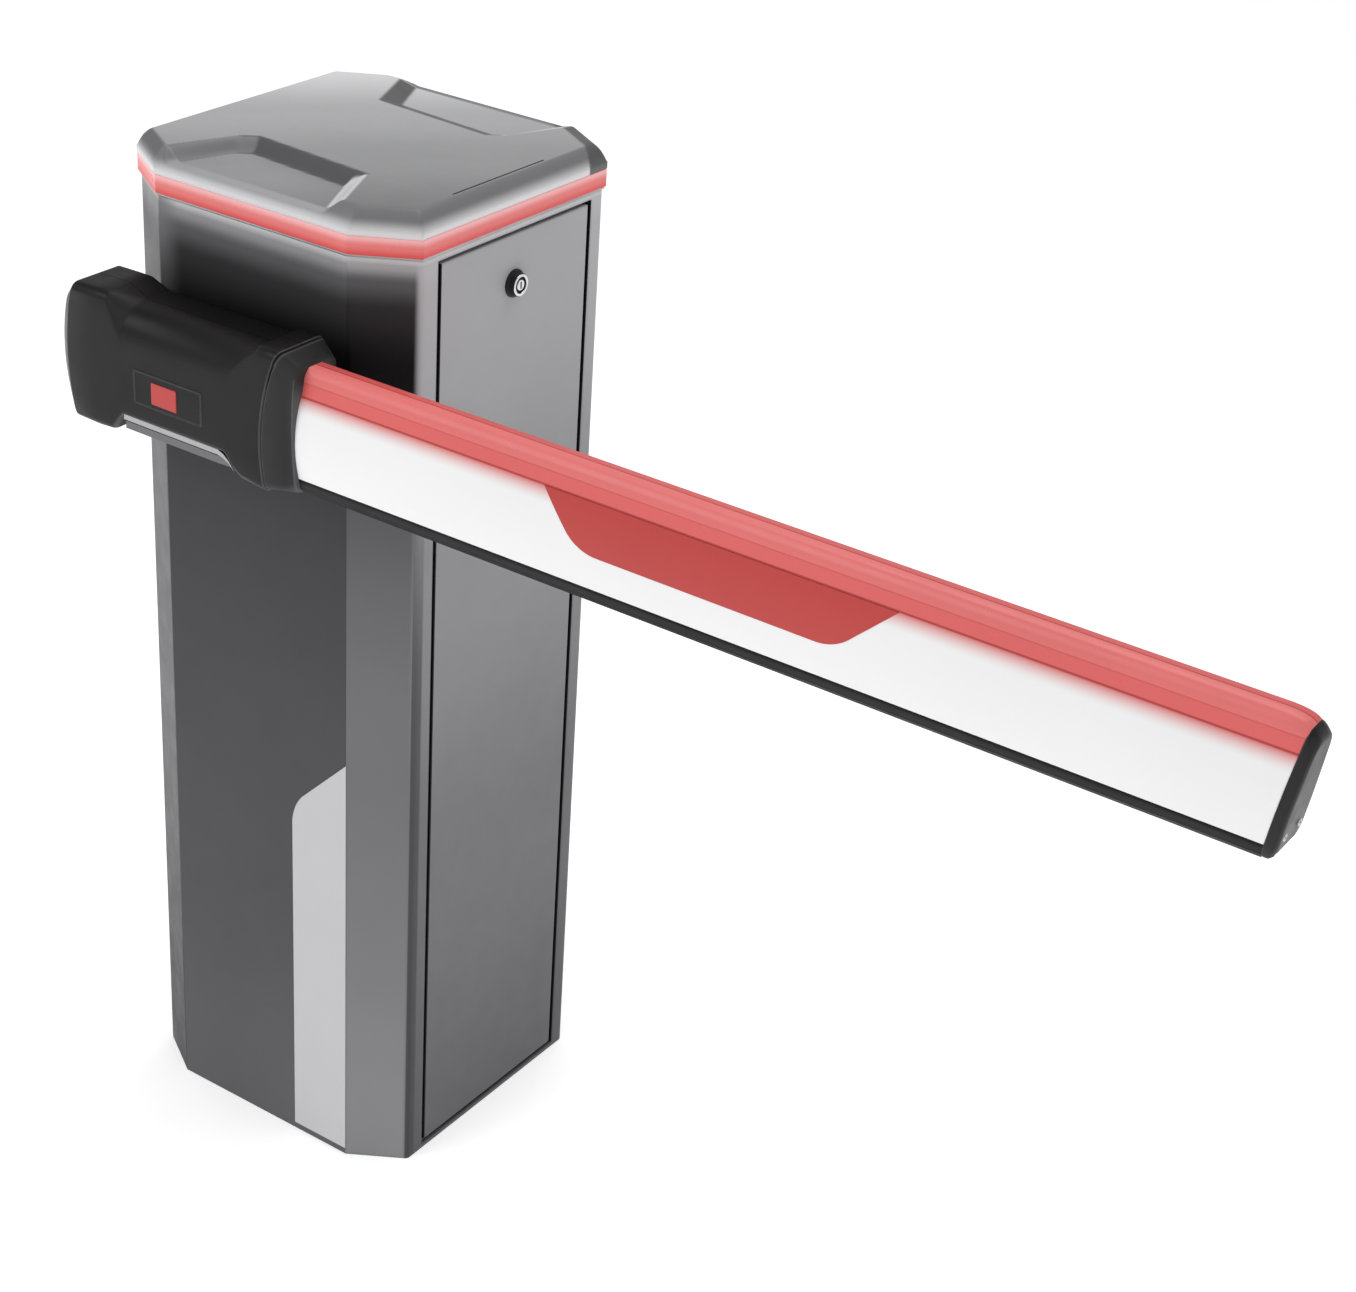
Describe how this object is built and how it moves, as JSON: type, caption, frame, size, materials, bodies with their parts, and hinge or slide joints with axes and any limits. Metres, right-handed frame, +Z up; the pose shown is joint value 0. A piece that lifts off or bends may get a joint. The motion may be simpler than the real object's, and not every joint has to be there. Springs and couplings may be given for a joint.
{
  "type": "parking barrier gate",
  "caption": "Floor-standing parking barrier: steel cabinet with a motor-driven, spring-balanced, lighted arm that swings from level to upright, and a tilt-out service door.",
  "frame": {"origin": "centre of the cabinet's footprint, on the ground, which is also the centre of the anchor hole pattern", "axes": "+Z up, +X along the closed arm and out of the door side, the arm passes in front of the -Y face"},
  "size_m": [1.2861, 0.4424, 1.08],
  "materials": {
    "shell_paint": "satin",
    "panel_paint": "matte",
    "stripe_film": "satin",
    "galvanised": "satin",
    "rubber": "matte",
    "light_strip": "satin",
    "red_lens": "gloss",
    "lid_paint": "satin",
    "zinc_steel": "satin",
    "spring_steel": "satin",
    "cast_bearing": "matte",
    "gearbox_casting": "satin",
    "motor_paint": "satin",
    "box_plastic": "matte",
    "board_green": "satin",
    "supply_metal": "satin",
    "terminal_plastic": "matte",
    "black_nylon": "matte",
    "sensor_brass": "satin",
    "arm_white": "satin",
    "end_cap_plastic": "matte",
    "red_film": "gloss",
    "hub_plastic": "matte",
    "trim_metal": "satin",
    "machined_steel": "satin",
    "lock_chrome": "gloss"
  },
  "bodies": {
    "cabinet": {"cabinet_shell": "shell_paint", "front_panel": "panel_paint", "front_stripe": "stripe_film", "base_plate": "galvanised", "cable_entry_seal": "rubber", "door_jamb": "galvanised", "door_seal": "rubber", "crown_tray": "galvanised", "crown_light_strip": "light_strip", "crown_lens": "red_lens", "lid": "lid_paint", "lid_gasket": "rubber", "shaft_seal": "rubber", "spring_tension_screw": "zinc_steel", "spring_tension_nuts": "zinc_steel", "spring_anchor": "galvanised", "balance_spring": "spring_steel", "drive_frame": "galvanised", "drive_frame_bolts": "zinc_steel", "shaft_bearings": "cast_bearing", "gearbox_housing": "gearbox_casting", "motor_can": "motor_paint", "equipment_plate": "galvanised", "control_box": "box_plastic", "control_box_cover": "box_plastic", "control_board": "board_green", "power_supply": "supply_metal", "terminal_block": "terminal_plastic", "cable_glands": "black_nylon", "limit_sensors": "sensor_brass"},
    "arm": {"arm_profile": "arm_white", "arm_lens": "red_lens", "arm_light_strip": "light_strip", "arm_bumper": "rubber", "arm_end_cap": "end_cap_plastic", "end_cap_screws": "zinc_steel", "arm_decal": "red_film", "hub_cover_front": "hub_plastic", "hub_cover_rear": "hub_plastic", "hub_badge_plate": "hub_plastic", "hub_badge_mark": "red_film", "hub_trim": "trim_metal", "hub_collar": "hub_plastic", "arm_bracket": "machined_steel", "arm_clamp_bolts": "zinc_steel", "drive_shaft": "machined_steel", "spring_lever": "machined_steel", "crank_lever": "machined_steel", "lever_pins": "zinc_steel", "sensor_flag": "machined_steel"},
    "gear_crank": {"gear_crank": "machined_steel"},
    "connecting_rod": {"connecting_rod": "machined_steel"},
    "spring_tie": {"spring_tie_rod": "machined_steel"},
    "door": {"door_panel": "shell_paint", "door_stiffeners": "galvanised", "lock_bezel": "lock_chrome", "lock_nut": "zinc_steel"},
    "lock": {"lock_cylinder": "lock_chrome", "lock_cam": "lock_chrome"},
    "release": {"release_lever": "black_nylon"}
  },
  "joints": [
    {"name": "arm_swing", "type": "hinge", "parent": "cabinet", "child": "arm", "pos_m": [-0.025, -0.1, 0.89], "axis": [0, -1, 0], "range_deg": [0, 90], "deforming": ["balance_spring"]},
    {"name": "crank_turn", "type": "hinge", "parent": "cabinet", "child": "gear_crank", "pos_m": [0.055, 0.02, 0.7], "axis": [0, -1, 0], "range_deg": [0, 90]},
    {"name": "rod_pivot", "type": "hinge", "parent": "gear_crank", "child": "connecting_rod", "pos_m": [-0.00055, 0.005, 0.72267], "axis": [0, -1, 0], "range_deg": [-90, 0]},
    {"name": "spring_pivot", "type": "hinge", "parent": "arm", "child": "spring_tie", "pos_m": [-0.0745, -0.076, 0.9395], "axis": [0, -1, 0], "range_deg": [-90, 0]},
    {"name": "door_tilt", "type": "hinge", "parent": "cabinet", "child": "door", "pos_m": [0.168, 0, 0.016], "axis": [0, 1, 0], "range_deg": [0, 20]},
    {"name": "lock_turn", "type": "hinge", "parent": "door", "child": "lock", "pos_m": [0.16, 0, 0.975], "axis": [-1, 0, 0], "range_deg": [0, 90]},
    {"name": "release_turn", "type": "hinge", "parent": "cabinet", "child": "release", "pos_m": [0.125, 0.108, 0.72], "axis": [1, 0, 0], "range_deg": [0, 90]}
  ],
  "couplings": [
    {"joint": "crank_turn", "follows": "arm_swing", "ratio": 1},
    {"joint": "rod_pivot", "follows": "arm_swing", "ratio": -1},
    {"joint": "spring_pivot", "follows": "arm_swing", "ratio": -1}
  ]
}
